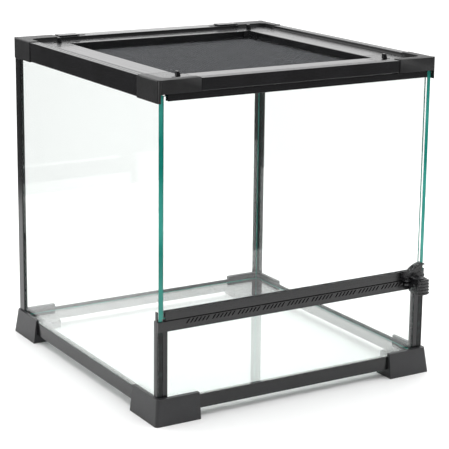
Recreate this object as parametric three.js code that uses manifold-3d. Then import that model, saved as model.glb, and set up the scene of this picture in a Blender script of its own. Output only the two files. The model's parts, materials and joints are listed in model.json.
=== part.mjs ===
// Front-opening glass pet tank with a plastic frame, a hinged door and a lift-off mesh lid.
// Millimetres, +Z up, -Y is the door side. The floor is z = 0.
import * as THREE from 'three';
import { mergeVertices } from 'three/addons/utils/BufferGeometryUtils.js';
import Module from 'manifold-3d';

const wasm = await Module();
wasm.setup();

// Overall sizes
const ringWidth = 300;
const ringDepth = 310;
const ringTop = 315;

// Fits
const gap = 0.3; // between pieces that touch
const slideGap = 0.6; // between pieces that move past each other
const bite = 0.5; // how far joined shapes reach into each other

// Glass
const sideGlass = 4;
const rearGlass = 4;
const frontGlass = 3;
const floorGlass = 4;

// Base rails and feet
const skin = 1.7; // wall of the rails, outside the glass
const baseBottom = 8.5;
const baseHeight = 13.3;
const baseSetback = 2; // from the top frame's front and rear faces
const baseLedge = 14; // how far the rails reach in under the floor glass
const baseFloorWall = 1.5;
const ledgeHeight = 7;
const footHeight = 25;
const footLegX = 44;
const footLegY = 48;
const footProudX = 1.5;
const footProudY = 2.5;
const footFlare = 3;
const footRadius = 3;
const footWidth = 20;

// Posts
const rearPostWidth = 10.3;
const rearPostDepth = 11.3;
const rearPostWall = 1.5;
const frontPostWidth = 5;
const frontPostDepth = 8;
const paneGrip = 2; // how far a pane's edge sits in a groove
const trimWall = 1.3; // strip on the outside of a side pane's front edge
const trimDepth = 6;
const trimUpperDepth = 3.5; // beside the door's lower profile

// Vent rail, under the door
const ventBottom = 87.5;
const ventHeight = 9.5;
const ventFrontWall = 1.8;
const ventDepth = 10;
const ventGlassGrip = 3.2;
const slitMargin = 22; // plain rail left at each end
const slitsPerGroup = 6;
const slitPitch = 4.1;
const slitGroupPitch = 27.1;
const slitWidth = 1.5;
const slitHeight = 4;
const slitLean = 3.2;
const slitTopWall = 0.7;

// Top frame
const skirtHeight = 19.5;
const rimThickness = 2.8;
const rimPastGlass = 3.5; // the rim reaches in past the side panes' inner faces
const rimPastDoor = 3.5; // and past the middle of the door glass
const rearRimPastGlass = 11.5;
const frontFaceBelowLedge = 0.5;
const innerWall = 2;
const lidLedgeDrop = 9; // from the rim's top down to the ledge that carries the lid
const lidLedgeReach = 9.5;
const lidLedgeThickness = 2;
const cornerLegX = 42;
const cornerLegY = 40;
const cornerProud = 0.6;
const cornerRadius = 4;
const lidCornerRadius = 8;

// Lid
const lidDrop = 3.2; // the lid's top lies this far below the rim
const lidBarSide = 32.4;
const lidBarFront = 33.9;
const lidBarRear = 23.9;
const lidPlate = 2;
const lidOuterWall = 3;
const lidInnerWall = 3.2;
const lidWallHeight = 10.3;
const meshThickness = 0.6;
const meshHeight = 1.8; // mesh middle above the foot of the lid's inner wall
const meshGrip = 1.1;
const meshGroove = 1.5;
const lidCornerPastX = 7.5; // how far a lid corner runs past the window
const lidCornerPastY = 14;

// Lid locks
const lockTravel = 4.5;
const lockFromWindow = 6; // lock head to the window's side
const lockBehindWindow = 12; // lock line to the window's front or rear edge
const lockStem = 3;
const lockStemWidth = 2.4;
const lockHeadLength = 4;
const lockHeadWidth = 4.6;
const lockHeadHeight = 5;
const lockTongueWidth = 6;
const lockTongueThickness = 1.6;

// Cable ports in the rear rim
const portCoverFromJoint = 0.7; // an open cover's outer end to the corner piece's joint
const portLength = 22;
const portWidth = 6.4;
const portTravel = 9.5; // from part open to shut
const portCoverLap = 0.5; // a shut cover reaches past its port's ends
const portCoverWidth = 12;
const portCoverThickness = 1.4;
const portFootThickness = 1.6;
const portFootLap = 0.8; // foot past the stem's ends

// Door
const hingeInset = 14; // hinge line from the top frame's left face
const hingePinRadius = 1.5;
const hingePinReach = 4.6;
const hingeSocket = 8;
const hingeSocketRoof = 1.7;
const doorSettle = 6; // middle of the door glass behind the top frame's front face
const doorSideGap = 0.8;
const doorUnderRail = 1.2; // the front face's foot down to the door's upper profile
const topProfileHeight = 6.3;
const bottomProfileHeight = 8.7;
const profileDepth = 6;
const profileWall = 1.2;
const topProfileInset = 3.8; // door glass edge to the profile's end
const bottomProfileInset = 1.8;

// Door grip and latch
const gripPastLug = 0.6;
const fanRadius = 24;
const fanInset = 5.7; // fan centre from the top frame's right face
const fanDrop = 7; // fan centre below the vent rail's top
const fanRimWidth = 1.8;
const fanRimHeight = 7.5;
const fanPlate = 3;
const fanDish = 1.7; // slope between the plate and the raised rim
const fanHubRadius = 12;
const fanHubHeight = 6.5;
const fanBeyondDoor = 1.8;
const fanEndRadius = 3.5; // rounding where the arc ends
const shellWidth = 12.3;
const shellInset = 8.4; // shell's right side from the top frame's right face
const shellDepth = 12.2;
const shellGap = 0.5; // shell's back to the vent rail
const shellDrop = 0.3; // shell's foot below the vent rail
const shellRise = 3.5; // shell's top above the vent rail
const shellWall = 1.6;
const padWidth = 13.1;
const padThickness = 2.4;
const padHeight = 15.4;
const padClearance = 1.8;
const padCrown = 16; // radius of the pad's face in plan
const padFlare = 1.2; // the lowest rib is this much wider at each side
const padRibs = 5;
const padRibHeight = 1.5;
const padRibProud = 0.7;
const leverWidth = 5.2;
const pivotRadius = 1.2;
const pivotSetback = 4.8; // pivot behind the shell's front edge
const pivotRise = 6.3; // pivot above the shell's lower edge
const barrelRadius = 3;
const hookThickness = 2;
const hookClearance = 0.7; // under the vent rail and in front of the lower glass
const springWire = 0.35;
const springCoil = 2.2;
const springTurns = 3;
const lugThickness = 2;
const lugReach = 7;
const lugWidth = 7.5;
const lugHole = 1.7;
const lugSpacing = 3.8;

const roundSegments = 24;

// Places that follow from the sizes
const halfWidth = ringWidth / 2;
const halfDepth = ringDepth / 2;
const paneOutX = halfWidth - skin - gap;
const paneInX = paneOutX - sideGlass;
const innerLimitX = paneInX - gap;
const baseOutY = halfDepth - baseSetback;
const paneEndY = baseOutY - skin - gap;
const rearPaneInY = paneEndY - rearGlass;
const doorY = -halfDepth + doorSettle;
const frontGlassOutY = doorY - frontGlass / 2;
const frontGlassInY = doorY + frontGlass / 2;
const baseTop = baseBottom + baseHeight;
const paneFoot = baseBottom + baseFloorWall + gap;
const paneTop = ringTop - rimThickness - gap;
const floorSeat = baseBottom + ledgeHeight + gap;
const skirtBottom = ringTop - skirtHeight;
const rimInX = paneInX - rimPastGlass;
const rimFrontY = doorY + rimPastDoor;
const rimRearY = rearPaneInY - rearRimPastGlass;
const railEndX = halfWidth - cornerLegX - gap;
const railEndY = halfDepth - cornerLegY - gap;
const ledgeTop = ringTop - lidLedgeDrop;
const ledgeFoot = ledgeTop - lidLedgeThickness;
const frontFaceFoot = ledgeFoot - frontFaceBelowLedge;
const portOutX = railEndX - portCoverFromJoint - portTravel - portCoverLap;
const portY = (rimRearY + innerWall + rearPaneInY) / 2;
const portFootWidth = rearPaneInY - rimRearY - innerWall - 2 * slideGap;
const lidOutX = rimInX - slideGap;
const lidFrontY = rimFrontY + slideGap;
const lidRearY = rimRearY - slideGap;
const lidTop = ringTop - lidDrop;
const windowX = lidOutX - lidBarSide;
const windowFrontY = lidFrontY + lidBarFront;
const windowRearY = lidRearY - lidBarRear;
const lidFoot = lidTop - lidWallHeight;
const meshZ = lidFoot + meshHeight;
const lidSeat = ledgeTop + gap;
const lockPlateTop = lidTop - lidPlate - gap;
const lockX = windowX + lockFromWindow;
const lockFrontY = windowFrontY - lockBehindWindow;
const lockRearY = windowRearY + lockBehindWindow;
const ventTop = ventBottom + ventHeight;
const trimOutX = paneOutX + gap + trimWall;
const ventFrontY = -paneEndY - gap - ventFrontWall;
const ventBackY = ventFrontY + ventDepth;
const doorLeft = -paneInX + doorSideGap;
const doorRight = paneInX - doorSideGap - gap;
const doorFoot = ventTop + gap;
const doorTop = frontFaceFoot - doorUnderRail;
const hingeX = -halfWidth + hingeInset;
const doorFrontY = doorY - profileDepth / 2;
const shellBackY = ventFrontY - shellGap;
const shellFrontY = shellBackY - shellDepth;
const shellRight = halfWidth - shellInset;
const shellLeft = shellRight - shellWidth;
const lugRight = shellLeft - gap;
const gripLeft = lugRight - lugWidth - gripPastLug;
const shellTop = ventTop + shellRise;
const shellFoot = ventBottom - shellDrop;
const pivotY = shellFrontY + pivotSetback;
const pivotZ = shellFoot + pivotRise;
const footRearY = baseOutY + footProudY + footFlare;
const latchFrontY = shellFrontY - padClearance - padThickness - padRibProud;

const plastic = { color: 0x29282a, roughness: 0.48, metalness: 0 };
const clearGlass = { color: 0xd5ebe6, roughness: 0.05, metalness: 0 };
const meshSteel = { color: 0x3c3d40, roughness: 0.55, metalness: 0.3 };
const brightSteel = { color: 0xb9bbbd, roughness: 0.3, metalness: 0.9 };

const hands = [['left', -1], ['right', 1]];
const ends = [['front', -1], ['rear', 1]];

const tank = new THREE.Group();

// A scale of -1 on x makes the left-hand twin of a right-hand shape.
function addPart(name, geometry, finish, sideX = 1) {
  const mesh = new THREE.Mesh(geometry, new THREE.MeshStandardMaterial(finish));
  mesh.name = name;
  mesh.scale.x = sideX;
  tank.add(mesh);
}

// A block between two values on each axis, given in either order.
function block([x0, x1], [y0, y1], [z0, z1]) {
  const geometry = new THREE.BoxGeometry(Math.abs(x1 - x0), Math.abs(y1 - y0), Math.abs(z1 - z0));
  return geometry.translate((x0 + x1) / 2, (y0 + y1) / 2, (z0 + z1) / 2);
}

function shapeOf(points) {
  return new THREE.Shape(points.map(([u, v]) => new THREE.Vector2(u, v)));
}

// An outline carried along an axis. Points are (y, z) along x, (x, z) along y and (x, y) along z.
function prism(shape, axis, from, to) {
  const low = Math.min(from, to);
  const high = Math.max(from, to);
  const options = { depth: high - low, bevelEnabled: false, curveSegments: 6 };
  const geometry = new THREE.ExtrudeGeometry(shape, options);
  const turn = new THREE.Matrix4();
  const [x, y, z] = [new THREE.Vector3(1, 0, 0), new THREE.Vector3(0, 1, 0), new THREE.Vector3(0, 0, 1)];
  if (axis === 'x') turn.makeBasis(y, z, x).setPosition(low, 0, 0);
  if (axis === 'y') turn.makeBasis(x, z, y.clone().negate()).setPosition(0, high, 0);
  if (axis === 'z') turn.setPosition(0, 0, low);
  return geometry.applyMatrix4(turn);
}

// A round bar along an axis, centred on (u, v) in the plane across it.
function bar(radius, axis, from, to, [u, v]) {
  const geometry = new THREE.CylinderGeometry(radius, radius, Math.abs(to - from), roundSegments);
  const middle = (from + to) / 2;
  if (axis === 'x') return geometry.rotateZ(Math.PI / 2).translate(middle, u, v);
  if (axis === 'y') return geometry.translate(u, middle, v);
  return geometry.rotateX(Math.PI / 2).translate(u, v, middle);
}

function solidOf(geometry) {
  const bare = geometry.clone();
  bare.deleteAttribute('normal');
  bare.deleteAttribute('uv');
  const merged = mergeVertices(bare, 1e-4);
  return new wasm.Manifold(new wasm.Mesh({
    numProp: 3,
    vertProperties: new Float32Array(merged.attributes.position.array),
    triVerts: new Uint32Array(merged.index.array),
  }));
}

function geometryOf(solid) {
  const mesh = solid.getMesh();
  const geometry = new THREE.BufferGeometry();
  geometry.setAttribute('position', new THREE.BufferAttribute(new Float32Array(mesh.vertProperties), 3));
  geometry.setIndex(new THREE.BufferAttribute(new Uint32Array(mesh.triVerts), 1));
  geometry.computeVertexNormals();
  return geometry;
}

function join(...geometries) {
  return geometryOf(geometries.map(solidOf).reduce((sum, next) => sum.add(next)));
}

function cut(geometry, ...tools) {
  return geometryOf(tools.map(solidOf).reduce((rest, tool) => rest.subtract(tool), solidOf(geometry)));
}

function common(first, second) {
  return geometryOf(solidOf(first).intersect(solidOf(second)));
}

const flipped = (points, side) => points.map(([u, v]) => [side * u, v]);

// A rectangle from (u0, v0) to (u, v) whose far corner is rounded.
function roundedCorner([u0, v0], [u, v], radius) {
  const stepU = Math.sign(u - u0) * radius;
  const stepV = Math.sign(v - v0) * radius;
  const shape = new THREE.Shape();
  shape.moveTo(u0, v0);
  shape.lineTo(u, v0);
  shape.lineTo(u, v - stepV);
  shape.absarc(u - stepU, v - stepV, radius, Math.atan2(0, stepU), Math.atan2(stepV, 0), stepU * stepV < 0);
  shape.lineTo(u0, v);
  return shape;
}

// ---- Glass ----

function addGlass() {
  const paneZ = [paneFoot, paneTop];
  for (const [hand, side] of hands) {
    addPart(`side_glass_${hand}`, block([paneInX, paneOutX], [-paneEndY, paneEndY], paneZ), clearGlass, side);
  }
  const betweenX = [-innerLimitX, innerLimitX];
  addPart('rear_glass', block(betweenX, [rearPaneInY, paneEndY], paneZ), clearGlass);
  const floorY = [frontGlassInY + gap, rearPaneInY - gap];
  addPart('floor_glass', block(betweenX, floorY, [floorSeat, floorSeat + floorGlass]), clearGlass);
  const lowerX = innerLimitX - frontPostWidth + paneGrip;
  const lowerZ = [paneFoot, ventBottom + ventGlassGrip];
  addPart('front_lower_glass', block([-lowerX, lowerX], [frontGlassOutY, frontGlassInY], lowerZ), clearGlass);
}

// ---- Base rails and feet ----

// Outer wall, floor and ledge of a base rail, for the side whose pane's inner face is at paneIn.
function baseSection(out, paneIn) {
  const ledgeOut = paneIn - gap;
  const ledgeIn = out - baseLedge;
  const floorTop = baseBottom + baseFloorWall;
  const ledgeZ = baseBottom + ledgeHeight;
  return [
    [out, baseBottom], [out, baseTop], [out - skin, baseTop], [out - skin, floorTop],
    [ledgeOut, floorTop], [ledgeOut, ledgeZ], [ledgeIn, ledgeZ], [ledgeIn, baseBottom],
  ];
}

function addBaseRails() {
  for (const [hand, side] of hands) {
    const rail = prism(shapeOf(baseSection(halfWidth, paneInX)), 'y', -baseOutY, baseOutY);
    const roomY = baseOutY - baseLedge - gap;
    const roomZ = [0, baseTop + 1];
    const front = block([0, paneInX], [-halfDepth, -roomY], roomZ);
    const rear = block([0, paneInX], [halfDepth, roomY], roomZ);
    addPart(`base_rail_${hand}`, cut(rail, front, rear), plastic, side);
  }
  const frontRail = flipped(baseSection(baseOutY, -frontGlassInY), -1);
  const rearRail = baseSection(baseOutY, rearPaneInY);
  addPart('base_rail_front', prism(shapeOf(frontRail), 'x', -innerLimitX, innerLimitX), plastic);
  addPart('base_rail_rear', prism(shapeOf(rearRail), 'x', -innerLimitX, innerLimitX), plastic);
}

// A foot wraps a lower corner: a block under the rails, flared walls outside them and a lip on top.
function footGeometry(sideY) {
  const outX = halfWidth + footProudX;
  const outY = baseOutY + footProudY;
  const endX = outX - footLegX;
  const endY = outY - footLegY;
  const body = prism(roundedCorner([endX, endY], [outX, outY], footRadius), 'z', 0, footHeight);
  const place = body.attributes.position;
  for (let i = 0; i < place.count; i += 1) {
    const spread = footFlare * (1 - place.getZ(i) / footHeight);
    if (place.getX(i) > endX + gap) place.setX(i, place.getX(i) + spread);
    if (place.getY(i) > endY + gap) place.setY(i, place.getY(i) + spread);
  }
  const inside = block([0, outX - footWidth], [0, outY - footWidth], [-1, footHeight + 1]);
  const seat = block([0, halfWidth + gap], [0, baseOutY + gap], [baseBottom - gap, baseTop + gap]);
  const lip = block([0, paneOutX + gap], [0, paneEndY + gap], [baseTop, footHeight + 1]);
  const foot = cut(body, inside, seat, lip);
  return sideY > 0 ? foot : turnedToFront(foot);
}

// Mirrors a rear shape across y = 0 and keeps its faces pointing out.
function turnedToFront(geometry) {
  const front = geometry.clone().scale(1, -1, 1);
  const order = front.index.array;
  for (let i = 0; i < order.length; i += 3) [order[i + 1], order[i + 2]] = [order[i + 2], order[i + 1]];
  front.computeVertexNormals();
  return front;
}

function addFeet() {
  for (const [end, sideY] of ends) {
    for (const [hand, sideX] of hands) addPart(`foot_${end}_${hand}`, footGeometry(sideY), plastic, sideX);
  }
}

// ---- Posts ----

function addPosts() {
  const outX = paneOutX + gap + rearPostWall;
  const outY = paneEndY + gap + rearPostWall;
  const rearZ = [footHeight + gap, skirtBottom - gap - cornerProud];
  const column = block([outX, outX - rearPostWidth], [outY, outY - rearPostDepth], rearZ);
  const room = block([0, paneOutX + gap], [0, paneEndY + gap], [0, ringTop]);
  const frontX = [innerLimitX - frontPostWidth, innerLimitX];
  const frontZ = [baseTop + gap, ventBottom - gap];
  const frontColumn = block(frontX, [-paneEndY, -paneEndY + frontPostDepth], frontZ);
  const grooveX = [0, innerLimitX - frontPostWidth + paneGrip + gap];
  const groove = block(grooveX, [frontGlassOutY - gap, frontGlassInY + gap], [0, ringTop]);
  const trimFront = -paneEndY;
  const [low, middle, high] = [footHeight + gap, ventTop, doorFoot + bottomProfileHeight];
  const outline = shapeOf([
    [trimFront, low], [trimFront + trimDepth, low], [trimFront + trimDepth, middle],
    [trimFront + trimUpperDepth, middle], [trimFront + trimUpperDepth, high], [trimFront, high],
  ]);
  for (const [hand, side] of hands) {
    addPart(`rear_post_${hand}`, cut(column, room), plastic, side);
    addPart(`front_post_${hand}`, cut(frontColumn, groove), plastic, side);
    addPart(`front_trim_${hand}`, prism(outline, 'x', paneOutX + gap, trimOutX), plastic, side);
  }
}

// ---- Vent rail ----

// One leaning slit, cut from front to back.
function slit(x) {
  const top = ventTop - slitTopWall;
  const foot = top - slitHeight;
  const outline = [[x, foot], [x + slitWidth, foot], [x + slitWidth + slitLean, top], [x + slitLean, top]];
  return prism(shapeOf(outline), 'y', ventFrontY - 1, ventBackY + 1);
}

function slits() {
  const groupSpan = (slitsPerGroup - 1) * slitPitch + slitWidth + slitLean;
  const room = 2 * (innerLimitX - slitMargin) - groupSpan;
  const lastGroup = Math.floor(room / slitGroupPitch);
  const start = -(lastGroup * slitGroupPitch + groupSpan) / 2;
  const all = [];
  for (let group = 0; group <= lastGroup; group += 1) {
    for (let i = 0; i < slitsPerGroup; i += 1) all.push(slit(start + group * slitGroupPitch + i * slitPitch));
  }
  return all;
}

// A padlock eye: a flat, round-ended lug standing forward with an upright hole.
function lug(foot, backY) {
  const top = foot + lugThickness;
  const middle = [lugRight - lugWidth / 2, doorFrontY - lugReach + lugWidth / 2];
  const plate = block([lugRight - lugWidth, lugRight], [middle[1], backY], [foot, top]);
  const end = bar(lugWidth / 2, 'z', foot, top, middle);
  const hole = bar(lugHole, 'z', foot - 1, top + 1, middle);
  return cut(join(plate, end), hole);
}

function addVentRail() {
  const core = block([-innerLimitX, innerLimitX], [ventFrontY, ventBackY], [ventBottom, ventTop]);
  const face = block([-trimOutX, trimOutX], [ventFrontY, ventFrontY + ventFrontWall], [ventBottom, ventTop]);
  const grooveY = [frontGlassOutY - gap, frontGlassInY + gap];
  const groove = block([-halfWidth, halfWidth], grooveY, [0, ventBottom + ventGlassGrip + gap]);
  const pinHole = bar(hingePinRadius + gap, 'z', ventTop - hingePinReach - gap, ventTop + 1, [hingeX, doorY]);
  const eye = lug(ventTop - lugSpacing, ventFrontY + bite);
  addPart('vent_rail', cut(join(core, face, eye), groove, pinHole, ...slits()), plastic);
}

// ---- Top frame ----

// Skirt, rim, inner wall and lid ledge of the top frame, from its outer face inwards.
function ringSection(out, skirtIn, rimIn, skirtFoot, proud) {
  const outer = out + proud;
  const top = ringTop + proud;
  const underRim = ringTop - rimThickness;
  const ledgeIn = rimIn - lidLedgeReach;
  return [
    [outer, skirtFoot - proud], [outer, top], [rimIn, top], [rimIn, ledgeTop], [ledgeIn, ledgeTop],
    [ledgeIn, ledgeFoot], [rimIn + innerWall, ledgeFoot], [rimIn + innerWall, underRim], [skirtIn, underRim],
    [skirtIn, skirtFoot - proud],
  ];
}

const sideRing = (proud) => ringSection(halfWidth, paneOutX + gap, rimInX, skirtBottom, proud);
const rearRing = (proud) => ringSection(halfDepth, paneEndY + gap, rimRearY, skirtBottom, proud);
const frontRing = (proud) => ringSection(halfDepth, halfDepth - skin, -rimFrontY, frontFaceFoot, proud);

// Room for the panes' upper edges under the rim.
function paneRooms() {
  const roomZ = [0, ringTop - rimThickness];
  const sideRoom = block([innerLimitX, paneOutX + gap], [-paneEndY - gap, paneEndY + gap], roomZ);
  const rearRoom = block([0, paneInX], [rearPaneInY - gap, paneEndY + gap], roomZ);
  return [sideRoom, rearRoom];
}

function lockNotch(lockY) {
  const halfNotch = lockTongueWidth / 2 + slideGap;
  const notchZ = [lockPlateTop - lockTongueThickness - gap, lockPlateTop + gap];
  return block([rimInX - 1, rimInX + innerWall + 1], [lockY - halfNotch, lockY + halfNotch], notchZ);
}

// A right-hand corner: two crossing legs, rounded outside, filleted inside, with room for panes and lock.
function cornerGeometry(sideY) {
  const rimY = sideY > 0 ? rimRearY : -rimFrontY;
  const endSection = sideY > 0 ? rearRing(cornerProud) : frontRing(cornerProud);
  const outX = halfWidth + cornerProud;
  const outY = halfDepth + cornerProud;
  const legX = halfWidth - cornerLegX;
  const legY = halfDepth - cornerLegY;
  const sideLeg = prism(shapeOf(sideRing(cornerProud)), 'y', sideY * legY, sideY * outY);
  const endLeg = prism(shapeOf(flipped(endSection, sideY)), 'x', legX, outX);
  const outline = roundedCorner([0, 0], [outX, sideY * outY], cornerRadius);
  const rounded = common(join(sideLeg, endLeg), prism(outline, 'z', 0, ringTop * 2));
  const filletX = rimInX - lidCornerRadius;
  const filletY = sideY * (rimY - lidCornerRadius);
  const filletZ = [ledgeTop - bite, ringTop + cornerProud];
  const fillBlock = block([filletX, rimInX + bite], [filletY, sideY * (rimY + bite)], filletZ);
  const fill = cut(fillBlock, bar(lidCornerRadius, 'z', ledgeTop - 1, ringTop + 2, [filletX, filletY]));
  return cut(join(rounded, fill), ...paneRooms(), lockNotch(sideY > 0 ? lockRearY : lockFrontY));
}

// The front left corner also holds the socket of the door's upper hinge pin.
function withHingeSocket(corner) {
  const socketX = [-hingeX - hingeSocket / 2, -hingeX + hingeSocket / 2];
  const holeTop = doorTop + hingePinReach + gap;
  const socketY = [-halfDepth + bite, rimFrontY - bite];
  const body = block(socketX, socketY, [frontFaceFoot, holeTop + hingeSocketRoof]);
  const hole = bar(hingePinRadius + gap, 'z', frontFaceFoot - 1, holeTop, [-hingeX, doorY]);
  return cut(join(corner, body), hole);
}

function addTopFrame() {
  for (const [hand, sideX] of hands) {
    addPart(`top_rail_${hand}`, prism(shapeOf(sideRing(0)), 'y', -railEndY, railEndY), plastic, sideX);
    const front = cornerGeometry(-1);
    addPart(`top_corner_front_${hand}`, sideX < 0 ? withHingeSocket(front) : front, plastic, sideX);
    addPart(`top_corner_rear_${hand}`, cornerGeometry(1), plastic, sideX);
  }
  addPart('top_rail_front', prism(shapeOf(flipped(frontRing(0), -1)), 'x', -railEndX, railEndX), plastic);
  const rearRail = prism(shapeOf(rearRing(0)), 'x', -railEndX, railEndX);
  const ports = hands.map(([, side]) => block(
    [side * (portOutX - portLength), side * portOutX],
    [portY - portWidth / 2, portY + portWidth / 2],
    [ringTop - rimThickness - 1, ringTop + 1],
  ));
  addPart('top_rail_rear', cut(rearRail, ...ports), plastic);
}

// A cable port cover: a plate on the rim, a stem through the port and a foot under it.
function addPortCovers() {
  const under = ringTop - rimThickness - gap;
  const plateFoot = ringTop + gap;
  const across = (width) => [portY - width / 2, portY + width / 2];
  const plateX = [portOutX - portLength - portCoverLap + portTravel, portOutX + portCoverLap + portTravel];
  const stemX = [portOutX - portLength + portTravel + slideGap, portOutX - slideGap];
  const footX = [stemX[0] - portFootLap, stemX[1] + portFootLap];
  const plate = block(plateX, across(portCoverWidth), [plateFoot, plateFoot + portCoverThickness]);
  const stem = block(stemX, across(portWidth - 2 * gap), [under - bite, plateFoot + bite]);
  const foot = block(footX, across(portFootWidth), [under - portFootThickness, under]);
  for (const [hand, side] of hands) {
    addPart(`cable_port_cover_${hand}`, join(plate, stem, foot), plastic, side);
  }
}

// ---- Lid ----

// Inner wall of a lid bar, with the groove that holds the mesh.
function lidWall(window) {
  const grooveFoot = meshZ - meshThickness / 2 - gap;
  const grooveTop = meshZ + meshThickness / 2 + gap;
  return [
    [window, lidTop], [window, grooveTop], [window + meshGroove, grooveTop],
    [window + meshGroove, grooveFoot], [window, grooveFoot], [window, lidFoot],
    [window + lidInnerWall, lidFoot], [window + lidInnerWall, lidTop - lidPlate],
  ];
}

// Top plate and outer wall of a lid bar.
function lidPlateEdge(out) {
  const plateFoot = lidTop - lidPlate;
  return [[out - lidOuterWall, plateFoot], [out - lidOuterWall, lidSeat], [out, lidSeat], [out, lidTop]];
}

const lidBar = (out, window) => [...lidWall(window), ...lidPlateEdge(out)];
const lidCover = (out, window) => [[window, lidTop], [window, lidTop - lidPlate], ...lidPlateEdge(out)];

// A corner of the lid, on the right: crossing covers, and walls that end where they meet.
function lidCorner(sideY) {
  const outY = sideY > 0 ? lidRearY : -lidFrontY;
  const windowY = sideY > 0 ? windowRearY : -windowFrontY;
  const lockY = sideY > 0 ? lockRearY : lockFrontY;
  const startX = windowX - lidCornerPastX;
  const startY = windowY - lidCornerPastY;
  const meetX = windowX + lidInnerWall;
  const meetY = windowY + lidInnerWall;
  const sideLeg = prism(shapeOf(lidCover(lidOutX, windowX)), 'y', sideY * startY, sideY * outY);
  const endLeg = prism(shapeOf(flipped(lidCover(outY, windowY), sideY)), 'x', startX, lidOutX);
  const sideWall = prism(shapeOf(lidWall(windowX)), 'y', sideY * startY, sideY * meetY);
  const endWall = prism(shapeOf(flipped(lidWall(windowY), sideY)), 'x', startX, meetX);
  const outline = prism(roundedCorner([0, 0], [lidOutX, sideY * outY], lidCornerRadius), 'z', 0, ringTop);
  const slotX = [lockX - lockStem / 2 - gap, lockX + lockStem / 2 + lockTravel + gap];
  const halfSlot = lockStemWidth / 2 + gap;
  const slot = block(slotX, [lockY - halfSlot, lockY + halfSlot], [lidTop - lidPlate - 1, lidTop + 1]);
  const halfGate = lockTongueWidth / 2 + gap;
  const gateX = [lidOutX - lidOuterWall - 1, lidOutX + 1];
  const gate = block(gateX, [lockY - halfGate, lockY + halfGate], [lidSeat - 1, lockPlateTop + gap / 2]);
  return cut(common(join(sideLeg, endLeg, sideWall, endWall), outline), slot, gate);
}

// A lock: a tongue under the lid's plate, a stem through the slot and a finger stub on top.
function lidLock(lockY) {
  const tongueX = [lockX - lockStem / 2, lidOutX - lidOuterWall - gap];
  const halfTongue = lockTongueWidth / 2;
  const halfStem = lockStemWidth / 2;
  const headFoot = lidTop + gap;
  const tongue = block(tongueX, [lockY - halfTongue, lockY + halfTongue],
    [lockPlateTop - lockTongueThickness, lockPlateTop]);
  const stem = block([lockX - lockStem / 2, lockX + lockStem / 2], [lockY - halfStem, lockY + halfStem],
    [lockPlateTop - bite, headFoot + bite]);
  const head = block([lockX - lockHeadLength / 2, lockX + lockHeadLength / 2],
    [lockY - lockHeadWidth / 2, lockY + lockHeadWidth / 2], [headFoot, headFoot + lockHeadHeight]);
  return join(tongue, stem, head);
}

function addLid() {
  const barX = windowX - lidCornerPastX - gap;
  const barFrontY = windowFrontY + lidCornerPastY + gap;
  const barRearY = windowRearY - lidCornerPastY - gap;
  const frontBar = flipped(lidBar(-lidFrontY, -windowFrontY), -1);
  const sideBar = shapeOf(lidBar(lidOutX, windowX));
  addPart('lid_bar_front', prism(shapeOf(frontBar), 'x', -barX, barX), plastic);
  addPart('lid_bar_rear', prism(shapeOf(lidBar(lidRearY, windowRearY)), 'x', -barX, barX), plastic);
  for (const [hand, sideX] of hands) {
    addPart(`lid_bar_${hand}`, prism(sideBar, 'y', barFrontY, barRearY), plastic, sideX);
    for (const [end, sideY] of ends) {
      addPart(`lid_corner_${end}_${hand}`, lidCorner(sideY), plastic, sideX);
      addPart(`lid_lock_${end}_${hand}`, lidLock(sideY > 0 ? lockRearY : lockFrontY), plastic, sideX);
    }
  }
  const meshX = windowX + meshGrip;
  const sheet = block([-meshX, meshX], [windowFrontY - meshGrip, windowRearY + meshGrip],
    [meshZ - meshThickness / 2, meshZ + meshThickness / 2]);
  addPart('lid_mesh', sheet, meshSteel);
}

// ---- Door ----

// A channel that clamps the door glass; up is 1 where its mouth faces up.
function channel(foot, height, up) {
  const outer = profileDepth / 2;
  const inner = frontGlass / 2 + gap;
  const closed = up > 0 ? foot : foot + height;
  const mouth = up > 0 ? foot + height : foot;
  const web = closed + up * profileWall;
  return shapeOf([
    [doorY - outer, closed], [doorY + outer, closed], [doorY + outer, mouth], [doorY + inner, mouth],
    [doorY + inner, web], [doorY - inner, web], [doorY - inner, mouth], [doorY - outer, mouth],
  ]);
}

function addDoor() {
  const glassZ = [doorFoot + profileWall + gap, doorTop - profileWall - gap];
  addPart('door_glass', block([doorLeft, doorRight], [frontGlassOutY, frontGlassInY], glassZ), clearGlass);
  const pinRoom = bar(hingePinRadius + gap, 'z', 0, ringTop, [hingeX, doorY]);
  const upperSection = channel(doorTop - topProfileHeight, topProfileHeight, -1);
  const lowerSection = channel(doorFoot, bottomProfileHeight, 1);
  const upper = prism(upperSection, 'x', doorLeft + topProfileInset, doorRight);
  const lower = prism(lowerSection, 'x', doorLeft + bottomProfileInset, gripLeft - gap);
  addPart('door_top_channel', cut(upper, pinRoom), plastic);
  addPart('door_bottom_channel', cut(lower, pinRoom), plastic);
  const pins = [
    ['hinge_pin_top', glassZ[1] + gap, doorTop + hingePinReach],
    ['hinge_pin_bottom', ventTop - hingePinReach, glassZ[0] - gap],
  ];
  for (const [name, foot, top] of pins) {
    addPart(name, bar(hingePinRadius, 'z', foot, top, [hingeX, doorY]), brightSteel);
  }
}

// ---- Grip and latch ----

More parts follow.
